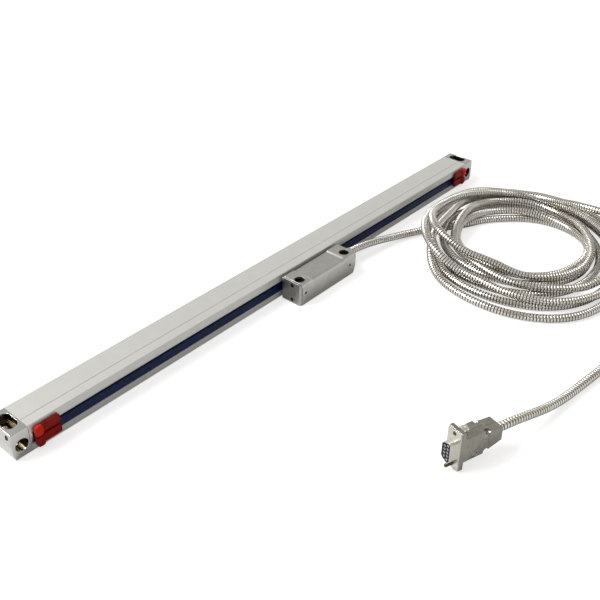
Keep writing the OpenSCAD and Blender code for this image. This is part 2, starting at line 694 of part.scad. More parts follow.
// ---------------------------------------------------------------- cable
CABLE_EXIT = [head_offset + head_l / 2, front_y + cable_y, cable_z];
gland_bore = cable_d + 0.2;
module cable_gland() color("Silver") translate(CABLE_EXIT) rotate([0, 90, 0]) difference() {
  union() {
    translate([0, 0, -gland_seat_l + 0.1]) cylinder(d = gland_bore_d - 0.1, h = gland_seat_l);
    translate([0, 0, 0.05]) cylinder(d = gland_d, h = 4);
    translate([0, 0, 4]) cylinder(d1 = gland_d, d2 = cable_d + 1.6, h = gland_l - 4);
  }
  translate([0, 0, -gland_seat_l - 1]) cylinder(d = 4.4, h = gland_l + gland_seat_l + 2);
  translate([0, 0, 2]) cylinder(d = gland_bore, h = gland_l);
}
module gland_seal() color("Black") translate(CABLE_EXIT) rotate([0, 90, 0]) difference() {
  translate([0, 0, 2.05]) cylinder(d = gland_bore - 0.1, h = 1.2);
  cylinder(d = 3.6, h = 6);
}

// The cable lies beside the scale and keeps its place relative to the head's cable exit.
// Points are the middle of the cable, from the gland to the coil and from the coil to the
// plug; lie is the height of a cable that rests on the ground.
lie = cable_d / 2;
EXIT_HERE = [50, -11.5, 0];
CORD_AT = [CABLE_EXIT[0] - EXIT_HERE[0], CABLE_EXIT[1] - EXIT_HERE[1], 0];
module with_cord() translate(CORD_AT) children();
// The plug's own frame: x out of the mating face, z along the flange, which stands on end.
PLUG_PLACE = [-95.9, -220.2, 16.5];
PLUG_TURN = [4, -2, 163];
function turn_x(p, a) = [p[0], p[1] * cos(a) - p[2] * sin(a), p[1] * sin(a) + p[2] * cos(a)];
function turn_y(p, a) = [p[0] * cos(a) + p[2] * sin(a), p[1], p[2] * cos(a) - p[0] * sin(a)];
function turn_z(p, a) = [p[0] * cos(a) - p[1] * sin(a), p[0] * sin(a) + p[1] * cos(a), p[2]];
function from_plug(p) =
  PLUG_PLACE + turn_z(turn_y(turn_x(p, PLUG_TURN[0]), PLUG_TURN[1]), PLUG_TURN[2]);
LEAD_IN = 3.5;
// The tail leaves the coil at its far side, so it moves out when the coil is made wider.
coil_x = 186;
coil_r_here = 112;
tail_out = 2 * (coil_outer_r - coil_r_here);
module with_tail() with_cord() translate([0, -tail_out, 0]) children();
LEAD = [[EXIT_HERE[0] + LEAD_IN, EXIT_HERE[1], cable_z], [62, -11.6, 11.5], [70, -12.2, 11.2],
  [79, -13.3, 10.6], [88, -14.4, 9.6], [97, -15.7, 8.4], [106, -17.4, 7.1], [115, -19.5, 5.9],
  [124, -22, 5], [133, -25, 4.4], [142, -28.5, 4], [148, -31, 3.9]];
TAIL_RUN = [[262, -196, lie], [253, -208, lie], [242, -219, lie], [230, -228.6, lie],
  [217, -236.8, lie], [202, -244.5, lie],
  [184, -251, lie], [165, -255.3, lie], [146, -257.4, lie], [127, -258, lie],
  [108, -257.6, lie], [90, -256.4, lie], [72, -254.7, lie], [55, -252.8, lie],
  [39, -250.7, lie], [24, -249, lie + 0.3], [9, -247.2, lie + 1.4], [-5, -245, lie + 3.3],
  [-18, -242.4, lie + 5.8], [-31, -239.3, lie + 8.6]];
TAIL_STRAIGHT = 13;
TAIL = concat(TAIL_RUN, [from_plug([-hood_l - TAIL_STRAIGHT, 0, 0]), from_plug([-hood_l, 0, 0])]);
TUBE_SIDES = 10;

function unit(v) = v / norm(v);
function heading(p, i) = unit(p[min(i + 1, len(p) - 1)] - p[max(i - 1, 0)]);
function ring(p, i, r) =
  let (t = heading(p, i), side = unit(cross(t, [0, 0, 1])), up = cross(side, t))
  [for (k = [0 : TUBE_SIDES - 1]) let (a = 360 * k / TUBE_SIDES)
    p[i] + r * (cos(a) * side + sin(a) * up)];
module tube(p, r) {
  n = len(p);
  s = TUBE_SIDES;
  points = [for (i = [0 : n - 1]) each ring(p, i, r)];
  walls = [for (i = [0 : n - 2], k = [0 : s - 1]) let (k2 = (k + 1) % s)
    [i * s + k, i * s + k2, (i + 1) * s + k2, (i + 1) * s + k]];
  first = [for (k = [s - 1 : -1 : 0]) k];
  last = [for (k = [0 : s - 1]) (n - 1) * s + k];
  polyhedron(points, concat(walls, [first, last]), convexity = 6);
}
module cable_lead() color("Silver") with_cord() tube(LEAD, cable_d / 2);
module cable_tail() color("Silver") with_tail() tube(TAIL, cable_d / 2);

COIL_CENTRE = [coil_x, EXIT_HERE[1] - cable_y - coil_gap - coil_outer_r, 0];
module cable_coil() color("Silver") with_cord() translate(COIL_CENTRE) rotate_extrude($fn = 96)
  translate([coil_inner_r, 0]) square([coil_outer_r - coil_inner_r, coil_h]);

// ---------------------------------------------------------------- plug
module at_plug() with_tail() translate(PLUG_PLACE) rotate(PLUG_TURN) children();
module along_plug(x0, l) translate([x0, 0, 0]) rotate([90, 0, 90]) linear_extrude(l) children();
shell_out = 6.1;
shell_t = 0.25;
flange_t = 1;
foot_l = 4.5;
insert_back = 6;
contact_back = 9;
jack_hole_d = 3.3;
jack_d = 2.9;
jack_head_d = 5.6;
jack_head_l = 6;
D_TALL = 8.15;
D_SHORT = 6.75;
D_HALF = 3.95;
// The D outline: longer on its +y side, shrunk all round by c.
module d_outline(c) {
  k = 1.6;
  y = D_HALF - c;
  a = D_TALL - c;
  b = D_SHORT - c;
  polygon([[y, a - k], [y - k, a - 0.2], [-y + k, b], [-y, b - k], [-y, -b + k], [-y + k, -b],
    [y - k, -a + 0.2], [y, -a + k]]);
}
module contact_places() {
  for (i = [-2 : 2]) translate([0, row_pitch / 2, i * contact_pitch]) children();
  for (i = [-1.5 : 1.5]) translate([0, -row_pitch / 2, i * contact_pitch]) children();
}

module plug_shell() color("WhiteSmoke") at_plug() difference() {
  union() {
    along_plug(-flange_t, flange_t) translate([-flange_w / 2, -flange_l / 2])
      square([flange_w, flange_l]);
    along_plug(-0.5, shell_out + 0.5) d_outline(0);
  }
  along_plug(-3, shell_out + 4) d_outline(shell_t);
  for (s = [-1, 1]) translate([-3, 0, s * jack_pitch / 2]) rotate([0, 90, 0])
    cylinder(d = jack_hole_d, h = 5);
}
module plug_insert() color("DarkSlateGray") at_plug() difference() {
  along_plug(-insert_back, insert_back + shell_out - 0.05) d_outline(shell_t + 0.05);
  contact_places() translate([-insert_back - 1, 0, 0]) rotate([0, 90, 0])
    cylinder(d = 1.9, h = insert_back + shell_out + 2);
}
module plug_contacts() color("Gold") at_plug() contact_places() translate([-contact_back, 0, 0])
  rotate([0, 90, 0]) difference() {
    cylinder(d = 1.8, h = contact_back + shell_out - 0.3);
    translate([0, 0, contact_back - 3]) cylinder(d = 1, h = 10);
  }

// One half of the hood seen on its broad side, as (x, z) with x running back from the flange.
notch_x = -24.4;
notch_d = 5.2;
notch_in = 3;
taper_x = -27;
hood_drop = 0.2;
tail_up = 6.5;
tail_low = 4.4;
hood_split = 0.05;
module hood_outline() {
  a = flange_l / 2;
  b = hood_h / 2;
  c = hood_h / 2 - hood_drop;
  polygon([[-flange_t, -a], [-foot_l, -a], [-foot_l, -c], [taper_x + 2, -c],
    [taper_x, -c + 2], [-hood_l, -tail_low], [-hood_l, tail_up], [taper_x, b - 2],
    [taper_x + 2, b], [-foot_l, b], [-foot_l, a], [-flange_t, a]]);
}
module hood_room() {
  translate([-hood_l + 6, -hood_h / 2 + 4.8]) square([hood_l - 6 - foot_l, hood_h - 8.6]);
  translate([-contact_back - 1.5, -D_TALL + 0.2])
    square([contact_back + 1.5, 2 * D_TALL]);
}
// side is +1 for the half on the +y side and -1 for the other.
module hood_half(side) difference() {
  y0 = hood_split;
  y1 = hood_w / 2;
  rotate([90, 0, 0]) translate([0, 0, side > 0 ? -y1 : y0]) linear_extrude(y1 - y0) hood_outline();
  rotate([90, 0, 0]) translate([0, 0, side > 0 ? -y1 + 1.4 : -1]) linear_extrude(y1 - 0.4) hood_room();
  for (s = [-1, 1]) translate([-foot_l - 1, 0, s * jack_pitch / 2]) rotate([0, 90, 0])
    cylinder(d = jack_hole_d, h = foot_l + 2);
  translate([-hood_l - 1, 0, 0]) rotate([0, 90, 0]) cylinder(d = cable_d + 0.2, h = 8);
  for (p = HOOD_SCREWS) translate([p[0], -hood_w, p[1]]) rotate([-90, 0, 0]) {
    cylinder(d = 2.3, h = 2 * hood_w);
  }
  for (p = HOOD_SCREWS) translate([p[0], hood_w / 2 - 1.4, p[1]]) rotate([-90, 0, 0])
    cylinder(d = 4.2, h = 3);
  for (z = [hood_h / 2 - 0.6, -hood_h / 2 + hood_drop + 0.6])
    translate([notch_x, side * (y1 + 1), z]) rotate([side * 90, 0, 0])
      cylinder(d = notch_d, h = notch_in + 1);
}
HOOD_SCREWS = [[-22.6, 4.6], [-14, -hood_h / 2 + 2.9]];
module hood_near_half() color("Silver") at_plug() hood_half(1);
module hood_far_half() color("DarkKhaki") at_plug() hood_half(-1);
module hood_screws() color("DarkGray") at_plug()
  for (p = HOOD_SCREWS) translate([p[0], hood_w / 2 - 1.35, p[1]]) rotate([-90, 0, 0]) {
    cylinder(d = 4, h = 1.2);
    translate([0, 0, -hood_w + 3.5]) cylinder(d = 2.2, h = hood_w - 3.4);
  }
module cable_clamp() color("Gray") at_plug() translate([-hood_l + 8, 0, 0]) rotate([0, 90, 0])
  difference() {
    cylinder(d = cable_d + 2, h = 5);
    translate([0, 0, -1]) cylinder(d = cable_d - 1, h = 7);
  }
// A jackscrew, turning freely in the hood's foot; out is how far its tip stands out.
module jackscrew(s, out) at_plug() translate([out, 0, s * jack_pitch / 2]) rotate([0, 90, 0]) {
  shank = out + foot_l + 0.1;
  difference() {
    union() {
      translate([0, 0, -shank]) cylinder(d = jack_d, h = shank);
      translate([0, 0, -shank - jack_head_l]) cylinder(d = jack_head_d, h = jack_head_l + eps);
    }
    translate([-0.4, -jack_head_d, -shank - jack_head_l - 1]) cube([0.8, 2 * jack_head_d, 2.2]);
  }
}
module upper_jackscrew() color("WhiteSmoke") jackscrew(1, 0.4);
module lower_jackscrew() color("WhiteSmoke") jackscrew(-1, 5.2);

housing();
glass_scale();
glass_bond_strips();
upper_lip_seal();
lower_lip_seal();
left_end_block();
right_end_block();
left_end_gasket();
right_end_gasket();
left_end_screws();
right_end_screws();
left_lip_clip();
right_lip_clip();
head_body();
head_end_plate();
end_plate_gasket();
end_plate_screws();
head_grub_screws();
signal_board();
coupling_arm();
coupling_arm_screws();
coupling_rod();
carriage();
roller_pins();
face_roller_left();
face_roller_right();
face_roller_inner();
edge_roller_left();
edge_roller_right();
lamp();
lamp_board();
index_grating();
detector_board();
flex_ribbon();
cable_gland();
gland_seal();
cable_lead();
cable_coil();
cable_tail();
plug_shell();
plug_insert();
plug_contacts();
hood_near_half();
hood_far_half();
hood_screws();
cable_clamp();
upper_jackscrew();
lower_jackscrew();
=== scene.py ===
import json
import math

import bmesh
import bpy
import numpy as np
from mathutils import Matrix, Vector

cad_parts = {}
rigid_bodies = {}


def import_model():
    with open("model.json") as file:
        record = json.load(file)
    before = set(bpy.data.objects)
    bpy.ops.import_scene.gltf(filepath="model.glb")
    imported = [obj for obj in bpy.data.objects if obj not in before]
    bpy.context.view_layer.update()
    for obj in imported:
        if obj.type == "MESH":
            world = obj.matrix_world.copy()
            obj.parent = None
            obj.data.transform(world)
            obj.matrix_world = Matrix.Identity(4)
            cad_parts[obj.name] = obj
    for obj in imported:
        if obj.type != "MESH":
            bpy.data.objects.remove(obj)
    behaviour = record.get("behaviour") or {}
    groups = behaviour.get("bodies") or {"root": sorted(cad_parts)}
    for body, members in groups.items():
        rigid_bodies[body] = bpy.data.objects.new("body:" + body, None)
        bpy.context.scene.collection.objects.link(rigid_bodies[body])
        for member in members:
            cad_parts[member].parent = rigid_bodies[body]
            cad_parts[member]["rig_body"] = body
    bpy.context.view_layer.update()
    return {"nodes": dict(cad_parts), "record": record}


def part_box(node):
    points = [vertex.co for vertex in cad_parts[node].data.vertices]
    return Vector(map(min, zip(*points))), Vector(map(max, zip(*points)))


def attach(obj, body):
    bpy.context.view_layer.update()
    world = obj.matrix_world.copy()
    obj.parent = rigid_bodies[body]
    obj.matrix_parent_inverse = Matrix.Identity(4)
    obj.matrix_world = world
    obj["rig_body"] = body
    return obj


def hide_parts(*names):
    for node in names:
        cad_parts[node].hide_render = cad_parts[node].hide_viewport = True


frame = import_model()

MM = 0.001

# ------------------------------------------------------------------ camera
# The eye stands left of the scale and in front of it, and looks down along it.
EYE = np.array([-451.9, -391.9, 398.2]) * MM
YAW, PITCH, ROLL = (math.radians(a) for a in (49.367, 34.774, 0.911))
LENS, SENSOR = 48.66, 36


def aim_camera():
    """Right, up and back axes from the heading YAW, the dip PITCH and the tilt ROLL."""
    ahead = np.array([math.sin(YAW) * math.cos(PITCH), math.cos(YAW) * math.cos(PITCH),
                      -math.sin(PITCH)])
    right = np.array([math.cos(YAW), -math.sin(YAW), 0.0])
    up = np.cross(right, ahead)
    right, up = (right * math.cos(ROLL) + up * math.sin(ROLL),
                 up * math.cos(ROLL) - right * math.sin(ROLL))
    camera = bpy.data.objects.new("camera", bpy.data.cameras.new("camera"))
    camera.data.lens = LENS
    camera.data.sensor_width = SENSOR
    camera.data.clip_start, camera.data.clip_end = 0.05, 30
    turned = Matrix(np.column_stack([right, up, -ahead]).tolist()).to_4x4()
    camera.matrix_world = Matrix.Translation(EYE.tolist()) @ turned
    bpy.context.scene.collection.objects.link(camera)
    bpy.context.scene.camera = camera


aim_camera()


# ------------------------------------------------------------------ meshes from numpy grids
def link_smooth(name, mesh, smooth_below):
    """An object of the mesh, shaded smooth where faces turn by less than smooth_below degrees."""
    mesh.polygons.foreach_set("use_smooth", np.ones(len(mesh.polygons), bool))
    mesh.set_sharp_from_angle(angle=math.radians(smooth_below))
    made = bpy.data.objects.new(name, mesh)
    bpy.context.scene.collection.objects.link(made)
    return made


def link_mesh(name, points, faces, smooth_below):
    """A mesh object from an array of points in metres and a list of faces."""
    mesh = bpy.data.meshes.new(name)
    mesh.from_pydata(points.tolist(), [], faces)
    mesh.update()
    return link_smooth(name, mesh, smooth_below)


def grid_faces(rows, sides):
    """Quads of a tube: ring i joined to ring i + 1, and the last side to the first."""
    i, k = np.meshgrid(np.arange(rows - 1), np.arange(sides), indexing="ij")
    near, far = i * sides + k, i * sides + (k + 1) % sides
    return np.stack([near, far, far + sides, near + sides], -1).reshape(-1, 4).tolist()


def tube_mesh(name, rings, smooth_below):
    """rings is (rows, sides, 3): a tube through them, its ends closed by flat caps."""
    rows, sides, _ = rings.shape
    faces = grid_faces(rows, sides)
    faces.append(list(range(sides - 1, -1, -1)))
    faces.append(list(range((rows - 1) * sides, rows * sides)))
    return link_mesh(name, rings.reshape(-1, 3), faces, smooth_below)


def mark_points(made, name, values):
    """A value for each point of a mesh, which its material reads by name."""
    marks = made.data.attributes.new(name, "FLOAT", "POINT")
    marks.data.foreach_set("value", np.asarray(values, np.float32))


# ------------------------------------------------------------------ the cable's route
# All in mm: LIE is the height of the middle of a cable that lies on the floor. LEAD leaves the
# head, UNDER_COIL runs below the coil to its innermost turn, and TAIL goes to the plug.
CABLE_D = 7.0
LIE = CABLE_D / 2
LEAD = [[53.5, -11.5, 11.5], [62, -11.6, 11.5], [70, -12.2, 11.2], [79, -13.3, 10.6],
        [88, -14.4, 9.6], [97, -15.7, 8.4], [106, -17.4, 7.1], [115, -19.5, 5.9],
        [124, -22, 5], [133, -25, 4.4], [142, -28.5, 4], [148, -31, 3.9]]
UNDER_COIL = [[157, -36.2, LIE], [166, -42, LIE], [180, -51, LIE]]
TAIL = [[262, -196, LIE], [253, -208, LIE], [242, -219, LIE], [230, -228.6, LIE],
        [217, -236.8, LIE], [202, -244.5, LIE], [184, -251, LIE], [165, -255.3, LIE],
        [146, -257.4, LIE], [127, -258, LIE], [108, -257.6, LIE], [90, -256.4, LIE],
        [72, -254.7, LIE], [55, -252.8, LIE], [39, -250.7, LIE], [24, -249, LIE + 0.3],
        [9, -247.2, LIE + 1.4], [-5, -245, LIE + 3.3], [-18, -242.4, LIE + 5.8],
        [-31, -239.3, LIE + 8.6]]
# Where the plug's flange stands, its turn about x, y and z, the length of its hood, and the
# straight piece of cable behind that.
PLUG_PLACE = np.array([-95.9, -220.2, 16.5])
PLUG_TURN = [math.radians(a) for a in (4, -2, 163)]
HOOD_L = 38.0
TAIL_STRAIGHT = 13.0
# The coil's turns, laid clockwise: how far each one seems to reach from COIL_MIDDLE on the
# ground as the eye sees it, every 45 degrees from the scale's side round by the right, in mm.
COIL_MIDDLE = np.array([197.5, -110.9])
TURNS = [[55, 49, 57, 66, 60, 59, 56, 58],
         [61, 66, 65, 66, 68, 72, 72, 72],
         [74, 76, 76, 74, 78, 88, 88, 82],
         [91, 100, 92, 88, 95, 107, 100, 84],
         [85, 99, 99, 94, 103, 124, 112, 86],
         [80, 104, 107, 100, 100, 100, 81, 86],
         [99, 110, 100, 91, 88, 79, 64, 61],
         [66, 88, 84, 71, 66, 60, 48, 62],
         [97, 106, 107]]
LAST_REACH = 100
EIGHTH = math.pi / 4
PER_KNOT = 12
# Parts of the route, in mm from its two ends, that keep their own height or take no lean, and
# how gently each of those starts.
KEEP_START, KEEP_END, KEEP_FADE = 60, 200, 40
UPRIGHT_END, UPRIGHT_FADE = 340, 80
# How far soften reaches, in mm, for the plan, the piled heights, the lean and the joined
# heights, and the piece at each end that the last of these leaves out.
SOFT_PLAN, SOFT_LIFT, SOFT_LEAN, SOFT_JOIN, JOIN_ENDS = 7, 11, 20, 4, 8
SETTLINGS = 5


def turn_about(axis, angle):
    """The matrix that turns a point about an axis, 0 for x, 1 for y and 2 for z."""
    a, b = (axis + 1) % 3, (axis + 2) % 3
    m = np.eye(3)
    m[a, a] = m[b, b] = math.cos(angle)
    m[b, a], m[a, b] = math.sin(angle), -math.sin(angle)
    return m


PLUG_AXES = turn_about(2, PLUG_TURN[2]) @ turn_about(1, PLUG_TURN[1]) @ turn_about(0, PLUG_TURN[0])


def from_plug(points):
    """The plug's own frame, in mm, to the part's frame: x is the mating direction, z up."""
    return PLUG_PLACE + np.asarray(points, float) @ PLUG_AXES.T


def curve_through(knots):
    """A smooth cubic through evenly weighted knots, PER_KNOT points to a stretch: each stretch
    leaves a knot along the line that joins the knots on either side of it."""
    k = np.asarray(knots, float)
    k = np.concatenate([[2 * k[0] - k[1]], k, [2 * k[-1] - k[-2]]])
    t = np.linspace(0, 1, PER_KNOT, endpoint=False)[None, :, None]
    a, b, c, d = (k[i:len(k) - 3 + i, None, :] for i in range(4))
    line = 0.5 * (2 * b + (c - a) * t + (2 * a - 5 * b + 4 * c - d) * t ** 2
                  + (3 * b - a - 3 * c + d) * t ** 3)
    return np.concatenate([line.reshape(-1, k.shape[1]), k[-2:-1]])


def walk(line):
    """The same line with its points 1 mm apart."""
    run = np.concatenate([[0], np.cumsum(np.linalg.norm(np.diff(line, axis=0), axis=1))])
    at = np.linspace(0, run[-1], int(round(run[-1])) + 1)
    return np.stack([np.interp(at, run, line[:, i]) for i in range(line.shape[1])], -1)


def soften(values, reach):
    """Each value averaged with its neighbours by a bell curve; the ends keep their own."""
    span = np.arange(-3 * reach, 3 * reach + 1)
    bell = np.exp(-0.5 * (span / reach) ** 2)
    pad = np.concatenate([2 * values[0] - values[3 * reach:0:-1], values,
                          2 * values[-1] - values[-2:-3 * reach - 2:-1]])
    return np.convolve(pad, bell / bell.sum(), "valid")


def coil_plan():
    """Points of the wound turns in plan: the reach is a smooth curve through TURNS, and the
    point lies that far from the middle at an angle that grows by 45 degrees a knot."""
    reach = np.array([r for turn in TURNS for r in turn] + [LAST_REACH], float)
    line = curve_through(np.stack([np.arange(len(reach)) * EIGHTH, reach], -1))
    keep = line[:, 0] < (len(reach) - 1.5) * EIGHTH
    angle, r = line[keep].T
    return np.stack([COIL_MIDDLE[0] + r * np.sin(angle), COIL_MIDDLE[1] + r * np.cos(angle),
                     np.full(len(r), LIE)], -1)


# How a strand crosses others, in mm: it falls from the crossing by RISE_BEND times the square
# of the way, ARM to either side. STRETCH is laid at a time, and NEXT_TO is still the same strand.
RISE_BEND = 0.006
ARM, STRETCH, NEXT_TO = 60, 300, 45


def pile_heights(line):
    """Heights of the line's points when each stretch lies on those laid before it: two round
    strands whose middles are w apart in plan stand sqrt(d*d - w*w) apart in height, and a
    strand rises over another along a parabola, as a stiff cable does."""
    n = len(line)
    lift = line[:, 2].copy()
    reach = np.arange(-ARM, ARM + 1)
    for start in range(STRETCH, n, STRETCH):
        here = np.arange(start, min(n, start + STRETCH))
        apart = np.hypot(line[here, None, 0] - line[None, :start, 0],
                         line[here, None, 1] - line[None, :start, 1])
        near = ((here[:, None] - np.arange(start)[None, :]) > NEXT_TO) & (apart < CABLE_D)
        rise = np.sqrt(np.maximum(0, CABLE_D ** 2 - apart ** 2))
        need = np.where(near, lift[None, :start] + rise, 0).max(1)
        low = max(0, start - ARM)
        span = np.arange(low, min(n, start + STRETCH + ARM))
        wanted = lift[span]
        wanted[here - low] = np.maximum(wanted[here - low], need)
        around = np.lib.stride_tricks.sliding_window_view(np.pad(wanted, ARM), 2 * ARM + 1)
        arch = (around - RISE_BEND * reach[None, :] ** 2).max(1)
        lift[span] = np.maximum(lift[span], arch)
    return lift


def share_between(count, start, end, fade):
    """A share for each of count points, 1 mm apart: 0 on the first start mm and the last end
    mm, then rising over fade mm to 1."""
    at = np.arange(count)
    return np.clip(np.minimum(at - start, count - end - at) / fade, 0, 1)


def lay_cable():
    """The whole route in mm, 1 mm apart: the lead, the wound turns piled on each other, and
    the tail to the back of the plug's hood. A strand that lies h high stands nearer to the
    eye than it seems to on the ground, by h over the eye's height of the way to it."""
    lead = walk(curve_through(LEAD + UNDER_COIL))
    coil = coil_plan()
    tail_end = from_plug([[-HOOD_L - TAIL_STRAIGHT, 0, 0], [-HOOD_L, 0, 0]])
    tail = curve_through(np.concatenate([TAIL, tail_end]))
    eye = EYE / MM
    coil[:, :2] += (eye[:2] - coil[:, :2]) * LIE / eye[2]
    line = walk(np.concatenate([lead, coil, tail]))
    for axis in (0, 1):
        line[:, axis] = soften(line[:, axis], SOFT_PLAN)
    line = walk(line)
    free = share_between(len(line), KEEP_START, KEEP_END, KEEP_FADE)
    leaning = share_between(len(line), KEEP_START, UPRIGHT_END, UPRIGHT_FADE)
    plan = line[:, :2].copy()
    for _ in range(SETTLINGS):
        lift = soften(pile_heights(line), SOFT_LIFT)
        lean = soften(leaning * (lift - LIE) / eye[2], SOFT_LEAN)[:, None]
        line[:, :2] = plan + (eye[:2] - plan) * lean
    line[:, 2] = line[:, 2] * (1 - free) + lift * free
    between = slice(JOIN_ENDS, -JOIN_ENDS)
    line[between, 2] = soften(line[:, 2], SOFT_JOIN)[between]
    return walk(line)


# One turn of the wound strip in mm: its length, where along it the profile changes, as shares
# of the length, and how deep it lies there.
RIB = 2.65
RIB_STEPS = np.array([0.0, 0.22, 0.78])
RIB_DEPTH = np.array([0.5, 0.0, 0.0])
CABLE_SIDES = 16


def ring_frames(line):
    """Side and up directions at each point: both square to the line, side level."""
    ahead = np.gradient(line, axis=0)
    ahead /= np.linalg.norm(ahead, axis=1)[:, None]
    side = np.cross(ahead, [0.0, 0.0, 1.0])
    side /= np.linalg.norm(side, axis=1)[:, None]
    return side, np.cross(side, ahead)


def armoured_cable():
    """Wound steel strip: a tube whose radius falls by RIB_DEPTH at RIB_STEPS of each rib."""
    line = lay_cable()
    run = np.arange(len(line), dtype=float)
    length = np.linalg.norm(np.diff(line, axis=0), axis=1).sum()
    scale = (len(line) - 1) / length
    ribs = int(length / RIB)
    at = ((np.arange(ribs)[:, None] + RIB_STEPS[None, :]) * (length / ribs)).ravel() * scale
    middle = np.stack([np.interp(at, run, line[:, i]) for i in range(3)], -1)
    side, up = ring_frames(middle)
    radius = CABLE_D / 2 - np.tile(RIB_DEPTH, ribs)
    angle = 2 * math.pi * np.arange(CABLE_SIDES) / CABLE_SIDES
    circle = (np.cos(angle)[None, :, None] * side[:, None, :]
              - np.sin(angle)[None, :, None] * up[:, None, :])
    rings = middle[:, None, :] + radius[:, None, None] * circle
    made = tube_mesh("armoured_cable", rings * MM, 34)
    mark_points(made, "groove", np.repeat(np.tile(RIB_DEPTH / RIB_DEPTH.max(), ribs), CABLE_SIDES))
    return made, middle[::4] * MM, length * MM


cable, cable_path, cable_length = armoured_cable()
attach(cable, "head_unit")
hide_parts("cable_lead", "cable_coil", "cable_tail")


# ------------------------------------------------------------------ rounded pieces
# Points closer than this, in metres, are one, and seams that turn by less, in degrees, are flat.
SAME_POINT, FLAT_SEAM = 2e-6, 0.6


def eased(node, width, corner):
    """The node's own form with its edges rounded: its triangles are merged, flat seams are
    dissolved, and a Bevel of the given width in mm rounds each edge that turns by more than
    corner degrees."""
    source = frame["nodes"][node]
    mesh = source.data.copy()
    mesh.materials.clear()
    form = bmesh.new()
    form.from_mesh(mesh)
    bmesh.ops.remove_doubles(form, verts=form.verts, dist=SAME_POINT)
    bmesh.ops.dissolve_limit(form, angle_limit=math.radians(FLAT_SEAM), verts=form.verts,
                             edges=form.edges)
    form.to_mesh(mesh)
    form.free()
    made = link_smooth(node + "_piece", mesh, corner)
    bevel = made.modifiers.new("edges", "BEVEL")
    bevel.width = width * MM
    bevel.segments = 2
    bevel.limit_method = "ANGLE"
    bevel.angle_limit = math.radians(corner)
    bevel.use_clamp_overlap = False
    bevel.harden_normals = True
    bevel.miter_outer = "MITER_ARC"
    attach(made, source["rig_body"])
    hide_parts(node)
    return made


def pillow(low, high, squareness, rows, sides=20):
    """A rounded block between two corners: a sphere's latitude and longitude, with each sine
    and cosine raised to the power squareness, so that 1 is a ball and near 0 is a box."""
    middle, half = (np.array(high, float) + low) / 2, (np.array(high, float) - low) / 2

    def power(wave):
        return np.sign(wave) * np.abs(wave) ** squareness

    tilt = np.linspace(-math.pi / 2, math.pi / 2, rows + 2)[1:-1, None]
    turn = (2 * math.pi * (np.arange(sides) + 0.5) / sides)[None, :]
    skin = np.stack([power(np.cos(tilt)) * power(np.cos(turn)),
                     power(np.cos(tilt)) * power(np.sin(turn)),
                     power(np.sin(tilt)) * np.ones_like(turn)], -1)
    points = np.concatenate([skin.reshape(-1, 3), [[0, 0, -1], [0, 0, 1]]]) * half + middle
    low_pole, high_pole, last = rows * sides, rows * sides + 1, (rows - 1) * sides
    ring = np.arange(sides)
    on = (ring + 1) % sides
    faces = grid_faces(rows, sides)
    faces += np.stack([np.full(sides, low_pole), on, ring], -1).tolist()
    faces += np.stack([np.full(sides, high_pole), last + ring, last + on], -1).tolist()
    return points, faces


def join_forms(name, forms):
    """Several closed forms as one mesh."""
    points, faces, first = [], [], 0
    for form_points, form_faces in forms:
        points.append(form_points)
        faces += [[v + first for v in face] for face in form_faces]
        first += len(form_points)
    return link_mesh(name, np.concatenate(points) * MM, faces, 60)


def lip_clip(node, outward):
    """Two bars over the ends of the lips, a thin web between them, and two ball-shaped lugs
    beside the end block. outward is +1 at the scale's right end and -1 at its left. The
    attribute "lug" is 1 on the upper lug, which the material paints lighter as painted light from
    above."""
    low, high = (np.array(c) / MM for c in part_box(node))
    out, back = (high[0], high[1]) if outward > 0 else (low[0], high[1])
    foot, top = low[2], high[2]
    split = (foot + top) / 2 + 0.4

    def part(span, z, depth, power, rows):
        """A pillow whose span runs inward from the clip's outer end and whose back is flush."""
        x = sorted((out - outward * span[0], out - outward * span[1]))
        return pillow([x[0], back - depth, z[0]], [x[1], back, z[1]], power, rows)

    bars, lugs = (5.0, 20.3), (0.0, 6.5)
    forms = [part(lugs, (split - 0.4, top), 4.0, 0.65, 18),
             part(bars, (split + 1.1, top - 0.3), 2.5, 0.3, 18),
             part(bars, (foot + 1.8, split - 0.9), 2.5, 0.3, 18),
             part((4.0, 19.4), (foot + 3.4, top - 1.6), 0.7, 0.2, 14),
             part((0.3, 7.4), (foot + 0.8, top - 0.8), 1.6, 0.25, 16),
             part(lugs, (foot, split - 1.1), 3.8, 0.6, 16)]
    made = join_forms(node + "_piece", forms)
    mark_points(made, "lug", np.arange(len(made.data.vertices)) < len(forms[0][0]))
    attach(made, "scale_unit")
    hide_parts(node)
    return made


# A jackscrew in mm: distance from the plug's axis, radii, the pitch and depth of its thread,
# and how far along the mating direction its head and its thread begin.
JACK_OFFSET, JACK_SIDES = 12.5, 32
HEAD_R, WAIST_R, SHANK_R = 2.8, 2.1, 1.45
PITCH_OF_THREAD, THREAD_DEPTH = 0.7, 0.28
HEAD_BACK, HEAD_FRONT, THREAD_START = -10.55, -4.62, -3.6


